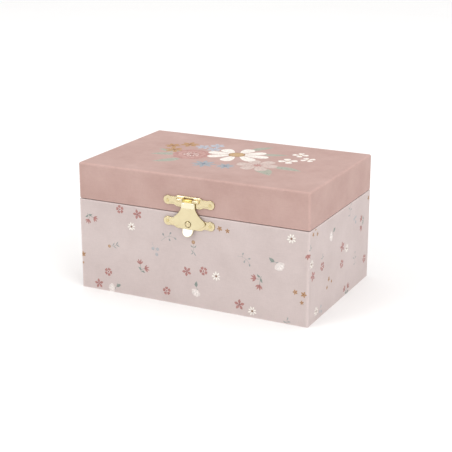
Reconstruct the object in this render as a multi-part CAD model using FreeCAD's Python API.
import FreeCAD, Part
import math
import os
from FreeCAD import Vector as V

os.makedirs("parts", exist_ok=True)

# ---------------------------------------------------------------- driving dimensions (mm)
# X is the width, Y the depth (front is -Y), Z is up.  Origin: centre of the base on the resting plane.
WIDTH = 175.0
DEPTH = 113.0
HEIGHT = 92.0
SEAM_Z = 66.0            # level of the hinge line, middle of the gap between base and lid
BASE_TOP = 65.8          # papered rim of the base
LID_LOW = 66.3           # papered rim of the lid
BOARD = 4.0              # greyboard walls
PAPER = 0.3              # printed wrap paper
LINING = 0.8             # flocked lining inside base and lid
R_BASE = 0.9             # corner radius of the base wrap
R_LID = 1.5              # corner radius of the lid wrap

FLOOR_Z0, FLOOR_Z1 = 10.0, 13.0      # floor board, set up into the base
DECK_Z0, DECK_Z1 = 35.0, 38.0        # stage deck over the movement
COVER = 0.6                          # fabric over the stage
STAGE_Y = 0.0                        # front face of the stage riser

LID_AXIS_Y, LID_AXIS_Z = 58.1, 66.0  # lid hinge axis
HINGE_X = 50.0                       # hinge centres at +-HINGE_X
HINGE_W = 22.0
KNUCKLE_R = 1.5
HINGE_PIN_R = 0.75
FIT = 0.05                           # running clearance on radius

HASP_AXIS_Y, HASP_AXIS_Z = -58.35, 75.6
STUD_Z = 59.3

AX_Y = 27.0              # vertical axis of barrel, key and dancer: x = 0, y = AX_Y
CYL_Z = 23.5             # height of cylinder and governor arbors
M1, N_CROWN, N_PIN1 = 0.6, 42, 14    # barrel crown wheel and cylinder pinion
M2, N_WHEEL, N_PIN2 = 0.4, 40, 10    # cylinder wheel and governor pinion
N_WORMWHEEL = 24
GOV_Y = AX_Y + M2 * (N_WHEEL + N_PIN2) / 2.0     # 37
WORM_R = 1.6
WORM_Y = GOV_Y + M2 * N_WORMWHEEL / 2.0 + WORM_R  # 43.4
WORM_X = 38.6
ROD_X, ROD_Y = 38.6, 49.4            # stop plunger
KEY_RECESS = FLOOR_Z0

HW, HD = WIDTH / 2.0, DEPTH / 2.0
IX, IY = HW - PAPER - BOARD, HD - PAPER - BOARD            # inner faces of the boards
LX, LY = IX - LINING, IY - LINING                          # inner faces of the lining

NODES = {}


def out(name, shape):
    NODES[name] = shape
    shape.exportStep("parts/%s.step" % name)


def box(x0, x1, y0, y1, z0, z1):
    return Part.makeBox(x1 - x0, y1 - y0, z1 - z0, V(x0, y0, z0))


def cyl(r, p, d, h):
    return Part.makeCylinder(r, h, V(*p), V(*d))


def fuse(shapes):
    s = shapes[0]
    if len(shapes) > 1:
        s = s.multiFuse(shapes[1:])
    return s.removeSplitter()


def one(s):
    return s.Solids[0] if len(s.Solids) == 1 else s


def comp(shapes):
    return Part.makeCompound(shapes)


def rblock(w, d, z0, z1, r, top=False):
    b = box(-w / 2, w / 2, -d / 2, d / 2, z0, z1)
    es = []
    for e in b.Edges:
        a, c = e.Vertexes[0].Point, e.Vertexes[1].Point
        if abs(a.x - c.x) < 1e-6 and abs(a.y - c.y) < 1e-6:
            es.append(e)
        elif top and abs(a.z - z1) < 1e-6 and abs(c.z - z1) < 1e-6:
            es.append(e)
    return b.makeFillet(r, es)


def prism(pts, direction):
    w = Part.makePolygon([V(*p) for p in pts] + [V(*pts[0])])
    return Part.Face(w).extrude(V(*direction))


def coil(r, wire_r, pitch, turns, cx, cy, z0, nseg=20, nside=8):
    # helical wire as a closed faceted solid; z0 is the height of the wire's centre at its start
    n = int(turns * nseg)
    rings = []
    for i in range(n + 1):
        a = 2 * math.pi * i / nseg
        z = z0 + pitch * i / nseg
        ring = []
        for j in range(nside):
            b = 2 * math.pi * j / nside
            rr = r + wire_r * math.cos(b)
            ring.append(V(cx + rr * math.cos(a), cy + rr * math.sin(a), z + wire_r * math.sin(b)))
        rings.append(ring)
    faces = []

    def tri(p, q, t):
        faces.append(Part.Face(Part.makePolygon([p, q, t, p])))
    for i in range(n):
        for j in range(nside):
            k = (j + 1) % nside
            a, b, c, d = rings[i][j], rings[i][k], rings[i + 1][k], rings[i + 1][j]
            tri(a, b, c)
            tri(a, c, d)
    for ring in (rings[0], rings[-1]):
        faces.append(Part.Face(Part.makePolygon(ring + [ring[0]])))
    shell = Part.makeShell(faces)
    shell.sewShape()
    sol = Part.makeSolid(shell)
    if sol.Volume < 0:
        sol.reverse()
    return sol


# ---------------------------------------------------------------- nails and their holes
def nail(x, y, z, s, head_r=1.15, head_h=0.45, shank_r=0.45, length=3.6):
    # s = -1: driven into the front face, s = +1: driven into the back face; y is the outer plate face
    head = cyl(head_r, (x, y, z), (0, s, 0), head_h)
    head = head.makeFillet(0.25, [e for e in head.Edges if abs(e.BoundBox.YMin - (y + s * head_h)) < 1e-6
                                  and abs(e.BoundBox.YMax - (y + s * head_h)) < 1e-6])
    shank = cyl(shank_r, (x, y, z), (0, -s, 0), length)
    return head.fuse(shank).removeSplitter()


LEAF = 0.7
PLATE = 0.8
hinge_nails_base = [nail(s * HINGE_X + t, HD + LEAF, 59.6, 1) for s in (-1, 1) for t in (-7, 7)]
hinge_nails_lid = [nail(s * HINGE_X + t, HD + LEAF, 72.4, 1) for s in (-1, 1) for t in (-7, 7)]
clasp_nails_base = [nail(s * 16.2, -HD - PLATE, 59.5, -1) for s in (-1, 1)]
clasp_nails_lid = [nail(s * 16.1, -HD - PLATE, 74.0, -1) for s in (-1, 1)]
all_base_nails = comp(hinge_nails_base + clasp_nails_base)
all_lid_nails = comp(hinge_nails_lid + clasp_nails_lid)

# ---------------------------------------------------------------- base box
# the wrap is trimmed flush with the raw lower edge of the boards and folded over the upper rim
b_out = rblock(WIDTH, DEPTH, 0, BASE_TOP, R_BASE)
b_in = rblock(WIDTH - 2 * PAPER, DEPTH - 2 * PAPER, 0, BASE_TOP - PAPER, R_BASE - PAPER)
b_hole = box(-IX, IX, -IY, IY, -1, BASE_TOP + 1)
out("base_wrap_paper", one(b_out.cut(b_in).cut(b_hole).cut(all_base_nails)))
b_ring = b_in.cut(b_hole)
out("base_front_board", one(b_ring.common(box(-HW, HW, -HD, -IY, 0, HEIGHT)).cut(all_base_nails)))
out("base_back_board", one(b_ring.common(box(-HW, HW, IY, HD, 0, HEIGHT)).cut(all_base_nails)))
out("base_side_boards", comp([one(b_ring.common(box(-HW, -IX, -IY, IY, 0, HEIGHT))),
                              one(b_ring.common(box(IX, HW, -IY, IY, 0, HEIGHT)))]))

# floor board with the holes for the winding shaft, the stop rod and the movement screws
SCREWS = [(-11.0, 8.5), (42.5, 8.5), (-11.0, 43.0)]
floor = box(-IX, IX, -IY, IY, FLOOR_Z0, FLOOR_Z1)
floor = floor.cut(cyl(3.2, (0, AX_Y, FLOOR_Z0 - 1), (0, 0, 1), 6))
floor = floor.cut(cyl(0.8 + FIT, (ROD_X, ROD_Y, FLOOR_Z0 - 1), (0, 0, 1), 6))
for (x, y) in SCREWS:
    floor = floor.cut(cyl(1.3, (x, y, FLOOR_Z0 - 1), (0, 0, 1), 6))
out("base_floor_board", one(floor))

lin = box(-IX, IX, -IY, IY, FLOOR_Z1, BASE_TOP - 0.5).cut(box(-LX, LX, -LY, LY, FLOOR_Z1 - 1, BASE_TOP + 1))
out("base_lining", one(lin))

# ---------------------------------------------------------------- stage and front compartments
deck = box(-LX, LX, STAGE_Y, LY, DECK_Z0, DECK_Z1)
deck_holes = comp([cyl(6.2, (0, AX_Y, DECK_Z0 - 1), (0, 0, 1), 6),
                   cyl(1.3, (ROD_X, ROD_Y, DECK_Z0 - 1), (0, 0, 1), 6)])
out("stage_deck", one(deck.cut(deck_holes)))
out("stage_riser", box(-LX, LX, STAGE_Y, STAGE_Y + 3, FLOOR_Z1, DECK_Z0))
cover = box(-LX, LX, STAGE_Y - COVER, LY, DECK_Z1, DECK_Z1 + COVER).cut(deck_holes.translated(V(0, 0, 2)))
cover = cover.fuse(box(-LX, LX, STAGE_Y - COVER, STAGE_Y, FLOOR_Z1, DECK_Z1)).removeSplitter()
out("stage_cover", one(cover))
out("stage_ledges", comp([box(-LX, -LX + 4, STAGE_Y + 3, LY, DECK_Z0 - 4, DECK_Z0),
                          box(LX - 4, LX, STAGE_Y + 3, LY, DECK_Z0 - 4, DECK_Z0)]))
FRONT_Y0, FRONT_Y1 = -LY, STAGE_Y - COVER
DIV_X, DIV_T, DIV_TOP = 27.0, 2.5, 48.0
divs = []
for s in (-1, 1):
    d = box(s * DIV_X - DIV_T / 2, s * DIV_X + DIV_T / 2, FRONT_Y0, FRONT_Y1, FLOOR_Z1, DIV_TOP)
    d = d.makeFillet(0.9, [e for e in d.Edges if abs(e.BoundBox.ZMin - DIV_TOP) < 1e-6 and e.BoundBox.YLength > 10])
    divs.append(d)
# the dividers end 0.0 against the stage cover; above the stage they stop at the riser line
out("tray_dividers", comp(divs))
pads = []
for (x0, x1) in ((-DIV_X + DIV_T / 2, DIV_X - DIV_T / 2), (DIV_X + DIV_T / 2, LX)):
    p = box(x0, x1, FRONT_Y0, FRONT_Y1, FLOOR_Z1, FLOOR_Z1 + 2.6)
    p = p.makeFillet(1.0, [e for e in p.Edges if abs(e.BoundBox.ZMin - (FLOOR_Z1 + 2.6)) < 1e-6])
    pads.append(p)
out("tray_floor_pads", comp(pads))
RX0, RX1 = -LX, -DIV_X - DIV_T / 2
SHELF_Z = 31.0
shelf = box(RX0, RX1, FRONT_Y0, FRONT_Y1, FLOOR_Z1, SHELF_Z).cut(
    box(RX0 + 2.5, RX1 - 2.5, FRONT_Y0 - 1, FRONT_Y1 + 1, FLOOR_Z1 - 1, SHELF_Z - 2.5))
out("ring_shelf", one(shelf))
ROLLS = 6
pitch = (FRONT_Y1 - FRONT_Y0) / ROLLS
rolls = []
for i in range(ROLLS):
    y0 = FRONT_Y0 + i * pitch
    r = box(RX0 + 0.2, RX1 - 0.2, y0 + 0.05, y0 + pitch - 0.05, SHELF_Z, SHELF_Z + 12.5)
    tops = [e for e in r.Edges if abs(e.BoundBox.ZMin - (SHELF_Z + 12.5)) < 1e-6 and e.BoundBox.XLength > 10]
    r = r.makeFillet(3.6, tops)
    rolls.append(r)
out("ring_roll_pads", comp(rolls))

# ---------------------------------------------------------------- lid
l_out = rblock(WIDTH, DEPTH, LID_LOW, HEIGHT, R_LID, top=True)
l_in = rblock(WIDTH - 2 * PAPER, DEPTH - 2 * PAPER, LID_LOW + PAPER, HEIGHT - PAPER, R_LID - PAPER, top=True)
TOP_Z0 = HEIGHT - PAPER - BOARD
l_hole = box(-IX, IX, -IY, IY, LID_LOW - 1, TOP_Z0)
out("lid_wrap_paper", one(l_out.cut(l_in).cut(l_hole).cut(all_lid_nails)))
l_ring = l_in.cut(l_hole)
out("lid_top_board", one(l_ring.common(box(-HW, HW, -HD, HD, TOP_Z0, HEIGHT))))
out("lid_front_board", one(l_ring.common(box(-HW, HW, -HD, -IY, 0, TOP_Z0)).cut(all_lid_nails)))
out("lid_back_board", one(l_ring.common(box(-HW, HW, IY, HD, 0, TOP_Z0)).cut(all_lid_nails)))
out("lid_side_boards", comp([one(l_ring.common(box(-HW, -IX, -IY, IY, 0, TOP_Z0))),
                             one(l_ring.common(box(IX, HW, -IY, IY, 0, TOP_Z0)))]))
LL0 = LID_LOW + 0.6
lidlin = box(-IX, IX, -IY, IY, LL0, TOP_Z0).cut(box(-LX, LX, -LY, LY, LL0 - 1, TOP_Z0 - LINING))
out("lid_lining", one(lidlin))

# mirror in a rebated card frame on the underside of the lid top
MIR_W, MIR_D, MIR_T = 120.0, 66.0, 1.6
MZ1 = TOP_Z0 - LINING
out("mirror_glass", box(-MIR_W / 2, MIR_W / 2, -MIR_D / 2, MIR_D / 2, MZ1 - MIR_T, MZ1))
fr = rblock(MIR_W + 12, MIR_D + 12, MZ1 - MIR_T - 0.7, MZ1, 4.0)
fr = fr.cut(box(-MIR_W / 2, MIR_W / 2, -MIR_D / 2, MIR_D / 2, MZ1 - MIR_T, MZ1 + 1))
win = rblock(MIR_W - 5, MIR_D - 5, MZ1 - 5, MZ1 + 1, 3.0)
out("mirror_frame", one(fr.cut(win)))

# small block on the inner back wall of the lid that holds the stop rod down
tab = box(ROD_X - 3, ROD_X + 3, ROD_Y - 1.5, LY, LID_LOW + 0.2, LID_LOW + 5.0)
tab = tab.makeFillet(0.8, [e for e in tab.Edges if abs(e.BoundBox.YMax - (ROD_Y - 1.5)) < 1e-6 and e.BoundBox.ZLength > 3])
out("lid_press_block", tab)

# ---------------------------------------------------------------- hinges on the back
seg_base = [(-11.0, -6.7), (-2.1, 2.1), (6.7, 11.0)]
seg_lid = [(-6.5, -2.3), (2.3, 6.5)]
leaves_b, leaves_l, pins_h = [], [], []
for s in (-1, 1):
    cx = s * HINGE_X
    kb = [cyl(KNUCKLE_R, (cx + a, LID_AXIS_Y, LID_AXIS_Z), (1, 0, 0), b - a) for a, b in seg_base]
    kl = [cyl(KNUCKLE_R, (cx + a, LID_AXIS_Y, LID_AXIS_Z), (1, 0, 0), b - a) for a, b in seg_lid]
    lb = box(cx - HINGE_W / 2, cx + HINGE_W / 2, HD, HD + LEAF, 54.6, LID_AXIS_Z - 0.1)
    ll = box(cx - HINGE_W / 2, cx + HINGE_W / 2, HD, HD + LEAF, LID_AXIS_Z + 0.1, 77.4)
    lb = lb.makeFillet(1.2, [e for e in lb.Edges if e.BoundBox.YLength > 0.5 and e.BoundBox.ZMax < 56])
    ll = ll.makeFillet(1.2, [e for e in ll.Edges if e.BoundBox.YLength > 0.5 and e.BoundBox.ZMin > 76])
    for a, b in seg_lid:
        lb = lb.cut(cyl(KNUCKLE_R + 0.2, (cx + a - 0.2, LID_AXIS_Y, LID_AXIS_Z), (1, 0, 0), b - a + 0.4))
    for a, b in seg_base:
        ll = ll.cut(cyl(KNUCKLE_R + 0.2, (cx + a - 0.2, LID_AXIS_Y, LID_AXIS_Z), (1, 0, 0), b - a + 0.4))
    lb = fuse([lb] + kb).cut(cyl(HINGE_PIN_R, (cx - 12, LID_AXIS_Y, LID_AXIS_Z), (1, 0, 0), 24))
    ll = fuse([ll] + kl).cut(cyl(HINGE_PIN_R + FIT, (cx - 12, LID_AXIS_Y, LID_AXIS_Z), (1, 0, 0), 24))
    leaves_b.append(one(lb.cut(all_base_nails)))
    leaves_l.append(one(ll.cut(all_lid_nails)))
    pins_h.append(cyl(HINGE_PIN_R, (cx - 11.2, LID_AXIS_Y, LID_AXIS_Z), (1, 0, 0), 22.4))
out("hinge_base_leaves", comp(leaves_b))
out("hinge_lid_leaves", comp(leaves_l))
out("hinge_pins", comp(pins_h))
out("base_nails", comp(hinge_nails_base + clasp_nails_base))
out("lid_nails", comp(hinge_nails_lid + clasp_nails_lid))

# ---------------------------------------------------------------- clasp on the front
def lobed_plate(zc, half_h, lobe_x, lobe_r, mid_dz=0.0):
    # wide middle, shallow waists, round end lobes that carry the nails
    y0, y1 = -HD - PLATE, -HD
    zm = zc + mid_dz
    sh = [box(-8.0, 8.0, y0, y1, zm - half_h, zm + half_h)]
    for s in (-1, 1):
        sh.append(cyl(half_h, (s * 8.0, y1, zm), (0, -1, 0), PLATE))
        sh.append(cyl(lobe_r, (s * lobe_x, y1, zc), (0, -1, 0), PLATE))
        sh.append(box(min(s * 8.0, s * lobe_x), max(s * 8.0, s * lobe_x), y0, y1, zc - 2.75, zc + 2.75))
    return fuse(sh)


BARREL_X, KNUCKLE_X = 3.4, 3.6
lp = lobed_plate(74.3, 3.9, 16.1, 3.2)
lp = lp.cut(box(-KNUCKLE_X, KNUCKLE_X, -HD - 2, -HD + 1, 73.9, 77.3))
for s in (-1, 1):
    x0 = KNUCKLE_X if s > 0 else -8.6
    k = cyl(1.25, (x0, HASP_AXIS_Y, HASP_AXIS_Z), (1, 0, 0), 8.6 - KNUCKLE_X)
    lp = lp.fuse(k)
lp = lp.removeSplitter().cut(cyl(0.6, (-12, HASP_AXIS_Y, HASP_AXIS_Z), (1, 0, 0), 24)).cut(all_lid_nails)
out("clasp_hinge_plate", one(lp))
out("clasp_pin", cyl(0.6, (-8.8, HASP_AXIS_Y, HASP_AXIS_Z), (1, 0, 0), 17.6))
kp = lobed_plate(59.5, 3.8, 16.2, 3.2, -0.4)
stud = cyl(2.0, (0, -HD - PLATE, STUD_Z), (0, -1, 0), 1.9)
stud = stud.makeFillet(0.7, [e for e in stud.Edges if abs(e.BoundBox.YMin - (-HD - PLATE - 1.9)) < 1e-6
                             and abs(e.BoundBox.YMax - (-HD - PLATE - 1.9)) < 1e-6])
out("clasp_keeper_plate", one(kp.fuse(stud).removeSplitter().cut(all_base_nails)))

# hasp: curled barrel on a narrow tongue, shouldered neck, bell-shaped blade with a hole for the stud, turned-out finger tab
HY0, HY1 = -58.4, -57.6
side = [(5.2, 74.15), (5.2, 73.0), (5.2, 71.6), (5.7, 69.3), (7.2, 66.8), (9.3, 64.6), (11.4, 62.9), (12.7, 61.3),
        (12.6, 60.0), (11.3, 58.7), (9.3, 57.4), (7.0, 56.4), (3.4, 55.7)]
right = [V(x, HY0, z) for x, z in side]
left = [V(-x, HY0, z) for x, z in side]
sp_r = Part.BSplineCurve(); sp_r.interpolate(right[2:])
sp_l = Part.BSplineCurve(); sp_l.interpolate(left[2:])
edges = [Part.makeLine(left[0], right[0]), Part.makeLine(right[0], right[2]), sp_r.toShape(),
         Part.makeLine(right[-1], left[-1]), sp_l.toShape(), Part.makeLine(left[2], left[0])]
blade = Part.Face(Part.Wire(Part.__sortEdges__(edges))).extrude(V(0, HY1 - HY0, 0))
barrel = cyl(1.25, (-BARREL_X, HASP_AXIS_Y, HASP_AXIS_Z), (1, 0, 0), 2 * BARREL_X)
tongue = box(-BARREL_X, BARREL_X, HY0, HY1, 74.0, HASP_AXIS_Z)
tabc = cyl(3.75, (0, HY1, 54.6), (0, -1, 0), 0.8)
tabc = tabc.common(box(-5, 5, HY0 - 0.1, HY1 + 0.1, 49, 56.6))
tabc.rotate(V(0, HY1, 56.2), V(1, 0, 0), 9.0)
tabc = tabc.common(box(-5, 5, -59.6, -57.45, 49, 58))
h = fuse([blade, tongue, barrel, tabc])
h = h.cut(cyl(0.6 + FIT, (-12, HASP_AXIS_Y, HASP_AXIS_Z), (1, 0, 0), 24))
h = h.cut(cyl(2.4, (0, HY1 + 1, STUD_Z), (0, -1, 0), 4))
out("clasp_hasp", one(h))

# ---------------------------------------------------------------- gear outlines
def gear_outline(n, m, thin, phase, add=1.0, ded=1.25, pa=math.radians(20)):
    # closed list of (u, v); phase = direction of a tooth centre (radians); thin = tooth thinned at the pitch circle
    rp = m * n / 2.0
    rb = rp * math.cos(pa)
    ra, rr = rp + add * m, rp - ded * m
    half = (math.pi * m / 2.0 - thin) / (2.0 * rp)
    inv = math.tan(pa) - pa
    pts = []
    rs = [max(rb, rr) + (ra - max(rb, rr)) * t for t in (0.0, 0.3, 0.65, 1.0)]
    for k in range(n):
        c = phase + 2 * math.pi * k / n
        fl = []
        for r in rs:
            a = math.acos(min(1.0, rb / r))
            w = half + inv - (math.tan(a) - a)
            fl.append((r, w))
        seq = []
        if rr < rb:
            seq.append((rr, fl[0][1]))
        seq += fl
        for r, w in seq:
            pts.append((r * math.cos(c - w), r * math.sin(c - w)))
        for r, w in reversed(seq):
            pts.append((r * math.cos(c + w), r * math.sin(c + w)))
    return pts


def gear_x(n, m, thin, phase, y, z, x0, x1, bore, **kw):
    # gear on an arbor along X; angles measured from +Y towards +Z
    pts = [(x0, y + u, z + v) for u, v in gear_outline(n, m, thin, phase, **kw)]
    g = prism(pts, (x1 - x0, 0, 0))
    return g.cut(cyl(bore, (x0 - 1, y, z), (1, 0, 0), x1 - x0 + 2))


# ---------------------------------------------------------------- movement: fixed parts
bed = box(-15, 46.6, 4, 47.2, 13.0, 14.5)
bed = bed.makeFillet(2.5, [e for e in bed.Edges if e.BoundBox.ZLength > 1])
bed = bed.cut(cyl(2.0 + FIT, (0, AX_Y, 12), (0, 0, 1), 4))
screws = []
for (x, y) in SCREWS:
    bed = bed.cut(cyl(1.2, (x, y, 12), (0, 0, 1), 4))
    hd = cyl(2.6, (x, y, 8.6), (0, 0, 1), 1.4)
    hd = hd.makeFillet(0.5, [e for e in hd.Edges if e.BoundBox.ZMax < 8.7])
    hd = hd.cut(box(x - 3, x + 3, y - 0.35, y + 0.35, 8.0, 9.2))
    screws.append(one(hd.fuse(cyl(1.2, (x, y, 10.0), (0, 0, 1), 4.5)).removeSplitter()))
out("movement_bedplate", one(bed))
out("movement_screws", comp(screws))

# coil clutch on the bedplate around the winding shaft
out("clutch_spring", coil(2.75, 0.36, 0.85, 2, 0, AX_Y, 14.9))

# bearing brackets of the pinned cylinder and the governor
bl = box(13.8, 15.0, AX_Y - 4, AX_Y + 4, 14.5, CYL_Z + 3.4)
bl = bl.makeFillet(2.2, [e for e in bl.Edges if e.BoundBox.XLength > 1 and e.BoundBox.ZMin > CYL_Z + 3.3 and e.BoundBox.YLength < 0.1])
bl = fuse([bl, box(15.0, 18.5, AX_Y - 4, AX_Y + 4, 14.5, 15.5)])
bl = bl.cut(cyl(1.0 + FIT, (10, AX_Y, CYL_Z), (1, 0, 0), 6))
out("cylinder_bracket_left", one(bl))
br = box(40.6, 41.8, AX_Y - 4, 39.4, 14.5, CYL_Z + 3.4)
br = br.cut(box(40, 42.4, 37.6, 41, 14.0, 19.4))
br = fuse([br, box(41.8, 44.4, AX_Y - 4, AX_Y + 6, 14.5, 15.5)])
br = br.cut(cyl(1.0 + FIT, (38, AX_Y, CYL_Z), (1, 0, 0), 6))
br = br.cut(cyl(0.8 + FIT, (38, GOV_Y, CYL_Z), (1, 0, 0), 6))
out("cylinder_bracket_right", one(br))
gp = box(34.0, 35.2, 35.7, 38.5, 14.5, CYL_Z + 2.2)
gp = gp.cut(cyl(0.8 + FIT, (30, GOV_Y, CYL_Z), (1, 0, 0), 8))
out("governor_pillar", one(gp))
gb = fuse([box(35.4, 46.2, 40.6, 46.6, 14.5, 15.5), box(44.8, 46.2, 41.4, 45.4, 15.5, 28.5),
           box(36.8, 46.2, 41.4, 45.4, 28.5, 29.7)])
gb = gb.cut(cyl(0.7 + FIT, (WORM_X, WORM_Y, 15.0), (0, 0, 1), 20))
out("governor_bracket", one(gb))

# comb: ledge, tuned steel comb with eighteen teeth, two screws
CX0, CX1 = 15.8, 35.4
ledge = box(CX0, CX1, 4.6, 10.6, 14.5, 22.9)
base_c = box(CX0, CX1, 4.6, 10.2, 22.9, 24.1)
tp = (CX1 - CX0) / 18.0
teeth = []
for i in range(18):
    x0 = CX0 + i * tp + 0.14
    ln = 19.6
    teeth.append(box(x0, x0 + tp - 0.28, 10.0, ln, 23.2, 23.8))
comb = fuse([base_c] + teeth)
csc, cho = [], []
for x in (CX0 + 3.6, CX1 - 3.6):
    hd = cyl(1.9, (x, 7.2, 24.1), (0, 0, 1), 1.3)
    hd = hd.cut(box(x - 3, x + 3, 7.2 - 0.3, 7.2 + 0.3, 24.9, 26))
    csc.append(one(hd.fuse(cyl(1.0, (x, 7.2, 18.5), (0, 0, 1), 5.6)).removeSplitter()))
    cho.append(cyl(1.0, (x, 7.2, 18.5), (0, 0, 1), 5.6))
out("comb_ledge", one(ledge.cut(comp(cho))))
out("tone_comb", one(comb.cut(comp(cho))))
out("comb_screws", comp(csc))

# ---------------------------------------------------------------- winding shaft and key
shaft = cyl(2.0, (0, AX_Y, 5.0), (0, 0, 1), 20.0)
out("winding_shaft", shaft)
hub = cyl(2.9, (0, AX_Y, 3.6), (0, 0, 1), 5.8)
wings = []
for s in (-1, 1):
    w = cyl(3.7, (s * 6.2, AX_Y - 0.7, 5.3), (0, 1, 0), 1.4)
    w = w.cut(cyl(1.9, (s * 6.4, AX_Y - 1.0, 5.3), (0, 1, 0), 2.4))
    wings.append(w)
key = fuse([hub, wings[0], wings[1]]).cut(shaft)
out("winding_key", one(key))

# ---------------------------------------------------------------- spring barrel, mainspring, dancer
CROWN_R = M1 * N_CROWN / 2.0                 # 12.6
PITCH_Z = CYL_Z + M1 * N_PIN1 / 2.0          # 27.7
ROOT_Z = PITCH_Z + 0.75
can = cyl(11.0, (0, AX_Y, 17.0), (0, 0, 1), ROOT_Z - 17.0)
flange = cyl(13.4, (0, AX_Y, ROOT_Z), (0, 0, 1), 1.2)
boss = cyl(5.0, (0, AX_Y, ROOT_Z + 1.2), (0, 0, 1), DECK_Z1 + COVER + 0.3 - ROOT_Z - 1.2)
t20 = math.tan(math.radians(20))
thin1 = 0.17
half_p = (math.pi * M1 / 2.0 - thin1) / 2.0
tooth_pts = [(-(half_p - 0.6 * t20), PITCH_Z - 0.6), (half_p - 0.6 * t20, PITCH_Z - 0.6),
             (half_p + 0.75 * t20, ROOT_Z), (half_p + 0.75 * t20, ROOT_Z + 0.2),
             (-(half_p + 0.75 * t20), ROOT_Z + 0.2), (-(half_p + 0.75 * t20), ROOT_Z)]
crown = []
for k in range(N_CROWN):
    t = prism([(11.9, u, z) for u, z in tooth_pts], (1.4, 0, 0))
    t.rotate(V(0, 0, 0), V(0, 0, 1), 360.0 * k / N_CROWN)
    t.translate(V(0, AX_Y, 0))
    crown.append(t)
bar = fuse([can, flange, boss] + crown)
bar = bar.cut(cyl(10.2, (0, AX_Y, 17.8), (0, 0, 1), 9.8))
bar = bar.cut(cyl(2.0 + FIT, (0, AX_Y, 16), (0, 0, 1), 3))
bar = bar.cut(cyl(1.2, (0, AX_Y, 30.5), (0, 0, 1), 12))
out("spring_barrel", one(bar))

# spiral mainspring between shaft and barrel wall
turns, r0, r1, th = 9.0, 2.3, 10.0, 0.28
n = int(turns * 12)
pi_, po_ = [], []
for k in range(n + 1):
    a = 2 * math.pi * turns * k / n
    r = r0 + (r1 - th - r0) * k / n
    pi_.append(V(r * math.cos(a), AX_Y + r * math.sin(a), 18.6))
    po_.append(V((r + th) * math.cos(a), AX_Y + (r + th) * math.sin(a), 18.6))
si = Part.BSplineCurve(); si.interpolate(pi_)
so = Part.BSplineCurve(); so.interpolate(po_)
sw = Part.Wire([si.toShape(), Part.makeLine(pi_[-1], po_[-1]), so.toShape(), Part.makeLine(po_[0], pi_[0])])
out("mainspring", Part.Face(sw).extrude(V(0, 0, 7.6)))

PED_Z0 = DECK_Z1 + COVER + 0.3               # 38.9
def revolve_z(profile, cx, cy):
    # profile: list of (r, z), closed on the axis
    w = Part.makePolygon([V(r, 0, z) for r, z in profile] + [V(profile[0][0], 0, profile[0][1])])
    s = Part.Face(w).revolve(V(0, 0, 0), V(0, 0, 1), 360)
    s.translate(V(cx, cy, 0))
    return s


ped = revolve_z([(0, PED_Z0), (9.0, PED_Z0), (9.4, PED_Z0 + 0.4), (9.4, PED_Z0 + 1.2), (8.4, PED_Z0 + 1.8),
                 (5.4, PED_Z0 + 2.2), (4.6, PED_Z0 + 2.9), (4.6, PED_Z0 + 3.3), (0, PED_Z0 + 3.3)], 0, AX_Y)
ped = ped.fuse(cyl(1.2, (0, AX_Y, 30.5), (0, 0, 1), PED_Z0 - 30.5 + 0.5)).removeSplitter()
out("dancer_pedestal", one(ped))
PT = PED_Z0 + 3.3                            # 42.2
out("ballerina_spring", coil(1.9, 0.3, 1.15, 4, 0, AX_Y, PT + 0.3))

# dancer: toe cap disc, legs, torso, head with hair knot, raised arms
SZ = PT + 5.2                                # 47.4 underside of the toe disc


def limb(pts, radii):
    parts = []
    for i in range(len(pts) - 1):
        a, b = V(*pts[i]), V(*pts[i + 1])
        d = b.sub(a)
        parts.append(Part.makeCone(radii[i], radii[i + 1], d.Length, a, d) if abs(radii[i] - radii[i + 1]) > 1e-6
                     else Part.makeCylinder(radii[i], d.Length, a, d))
    for i in range(len(pts)):
        parts.append(Part.makeSphere(radii[i], V(*pts[i])))
    return parts


toe = cyl(2.4, (0, AX_Y, SZ), (0, 0, 1), 1.0)
leg1 = limb([(0.25, AX_Y, SZ + 1.5), (0.35, AX_Y, SZ + 3.0), (0.6, AX_Y + 0.25, SZ + 6.2), (0.55, AX_Y - 0.1, SZ + 8.6), (0.9, AX_Y, SZ + 14.5)],
            [0.55, 0.7, 1.05, 0.85, 1.35])
leg2 = limb([(-0.35, AX_Y + 0.9, SZ + 1.7), (-0.4, AX_Y + 0.8, SZ + 3.2), (-0.6, AX_Y + 0.8, SZ + 6.3), (-0.65, AX_Y + 0.3, SZ + 8.6), (-0.9, AX_Y, SZ + 14.5)],
            [0.5, 0.65, 1.0, 0.82, 1.35])
torso = revolve_z([(0, SZ + 13.2), (1.9, SZ + 13.6), (2.5, SZ + 15.0), (2.3, SZ + 16.3), (1.65, SZ + 18.3), (1.75, SZ + 19.4),
                   (2.3, SZ + 21.0), (2.35, SZ + 22.0), (1.9, SZ + 23.0), (0.85, SZ + 23.8), (0.75, SZ + 25.4), (0, SZ + 25.6)], 0, AX_Y)
head = Part.makeSphere(2.1, V(0, AX_Y, SZ + 27.3))
bun = Part.makeSphere(1.15, V(0, AX_Y + 0.9, SZ + 29.5))
arms = []
for s in (-1, 1):
    pts = [(s * 2.2, AX_Y, SZ + 22.6), (s * 3.9, AX_Y - 0.3, SZ + 24.6), (s * 4.5, AX_Y - 0.6, SZ + 27.2),
           (s * 4.1, AX_Y - 0.8, SZ + 30.0), (s * 2.9, AX_Y - 0.9, SZ + 32.4), (s * 1.1, AX_Y - 0.9, SZ + 34.1)]
    arms += limb(pts, [0.85, 0.72, 0.66, 0.6, 0.5, 0.42])
fig = fuse([toe, torso, head, bun] + leg1 + leg2 + arms)
out("ballerina_figure", one(fig))
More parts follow.
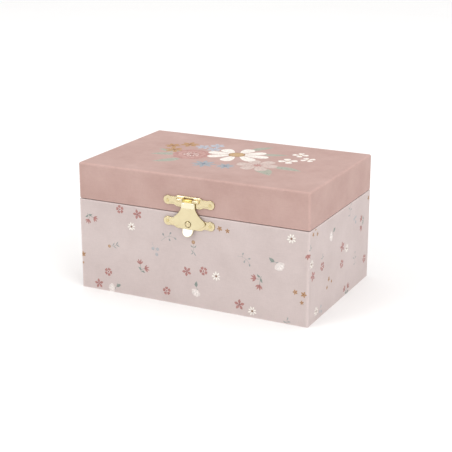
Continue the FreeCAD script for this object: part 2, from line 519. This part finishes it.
# pancake tutu: three stacked shallow layers joined at the waist band
sk = revolve_z([(0.5, SZ + 15.6), (2.9, SZ + 15.5), (11.4, SZ + 14.2), (12.4, SZ + 14.3), (12.4, SZ + 14.9), (9.0, SZ + 16.2),
                (3.0, SZ + 17.6), (0.5, SZ + 17.8)], 0, AX_Y).cut(fig)
out("ballerina_skirt", one(sk))

# ---------------------------------------------------------------- pinned cylinder train
arb = cyl(1.0, (11.4, AX_Y, CYL_Z), (1, 0, 0), 30.9)
pin = gear_x(N_PIN1, M1, thin1, math.pi / 2 + math.pi / N_PIN1, AX_Y, CYL_Z, 11.9, 13.3, 1.0)
whl = gear_x(N_WHEEL, M2, 0.12, 0.0, AX_Y, CYL_Z, 36.2, 37.2, 1.0, add=0.85)
out("cylinder_arbor", one(arb.multiFuse([pin, whl]).removeSplitter()))
drum = cyl(6.5, (15.6, AX_Y, CYL_Z), (1, 0, 0), 20.0)
pins = []
seed = 7
for i in range(18):
    x = CX0 + (i + 0.5) * tp
    for j in range(3):
        seed = (seed * 1103515245 + 12345) % 2147483648
        a = math.radians(120.0 * j + 14.0 * (seed % 8))
        d = (0, math.cos(a), math.sin(a))
        p = (x, AX_Y + 6.0 * d[1], CYL_Z + 6.0 * d[2])
        pins.append(cyl(0.26, p, d, 1.15))
drum = fuse([drum] + pins).cut(cyl(1.0, (10, AX_Y, CYL_Z), (1, 0, 0), 40))
out("pinned_cylinder", one(drum))

# ---------------------------------------------------------------- governor
garb = cyl(0.8, (33.8, GOV_Y, CYL_Z), (1, 0, 0), 8.4)
gpin = gear_x(N_PIN2, M2, 0.12, math.pi + math.pi / N_PIN2, GOV_Y, CYL_Z, 36.0, 37.4, 0.8)
gwh = gear_x(N_WORMWHEEL, M2, 0.14, math.pi / N_WORMWHEEL, GOV_Y, CYL_Z, 38.0, 39.2, 0.8, add=0.85)
out("governor_wheel", one(garb.multiFuse([gpin, gwh]).removeSplitter()))

LEAD = math.pi * M2
core = cyl(1.12, (WORM_X, WORM_Y, 19.6), (0, 0, 1), 7.8)
tt = 0.5 * LEAD - 0.14
hr = WORM_R
wprof = [(1.0, -(tt / 2 + 0.6 * t20)), (hr + 0.36, -(tt / 2 - 0.36 * t20)), (hr + 0.36, tt / 2 - 0.36 * t20), (1.0, tt / 2 + 0.6 * t20)]
hx = Part.makeHelix(LEAD, LEAD * 5, hr)
pw = Part.makePolygon([V(r, 0, z) for r, z in wprof] + [V(wprof[0][0], 0, wprof[0][1])])
th_ = Part.Wire(hx).makePipeShell([pw], True, True)
# the thread crest faces -Y at the height of the wheel axis
z_start = CYL_Z - 0.75 * LEAD - 2 * LEAD
th_.translate(V(WORM_X, WORM_Y, z_start))
wshaft = fuse([cyl(0.7, (WORM_X, WORM_Y, 15.1), (0, 0, 1), 14.3), core])
worm = wshaft.fuse(th_)
out("worm_shaft", one(worm.removeSplitter()))
fan = fuse([cyl(1.5, (WORM_X, WORM_Y, 15.9), (0, 0, 1), 2.2), cyl(4.6, (WORM_X, WORM_Y, 17.7), (0, 0, 1), 0.4),
            box(WORM_X - 4.8, WORM_X + 4.8, WORM_Y - 0.2, WORM_Y + 0.2, 15.9, 17.7)])
out("fan_blades", one(fan.cut(cyl(0.7, (WORM_X, WORM_Y, 14), (0, 0, 1), 8))))

# ---------------------------------------------------------------- stop plunger with felt pad and spring
rod = cyl(0.8, (ROD_X, ROD_Y, 10.2), (0, 0, 1), LID_LOW + 0.15 - 10.2)
collar = cyl(1.8, (ROD_X, ROD_Y, 19.0), (0, 0, 1), 1.0)
arm = box(ROD_X - 1.0, ROD_X + 1.0, 45.9, ROD_Y, 19.0, 20.0)
out("stop_plunger", one(fuse([rod, collar, arm])))
out("stop_felt", box(ROD_X - 1.2, ROD_X + 1.2, 45.9, 47.5, 18.15, 19.0))
out("stop_spring", coil(1.35, 0.2, 1.08, 5, ROD_X, ROD_Y, FLOOR_Z1 + 0.25, nside=6))

print(len(NODES), "nodes")
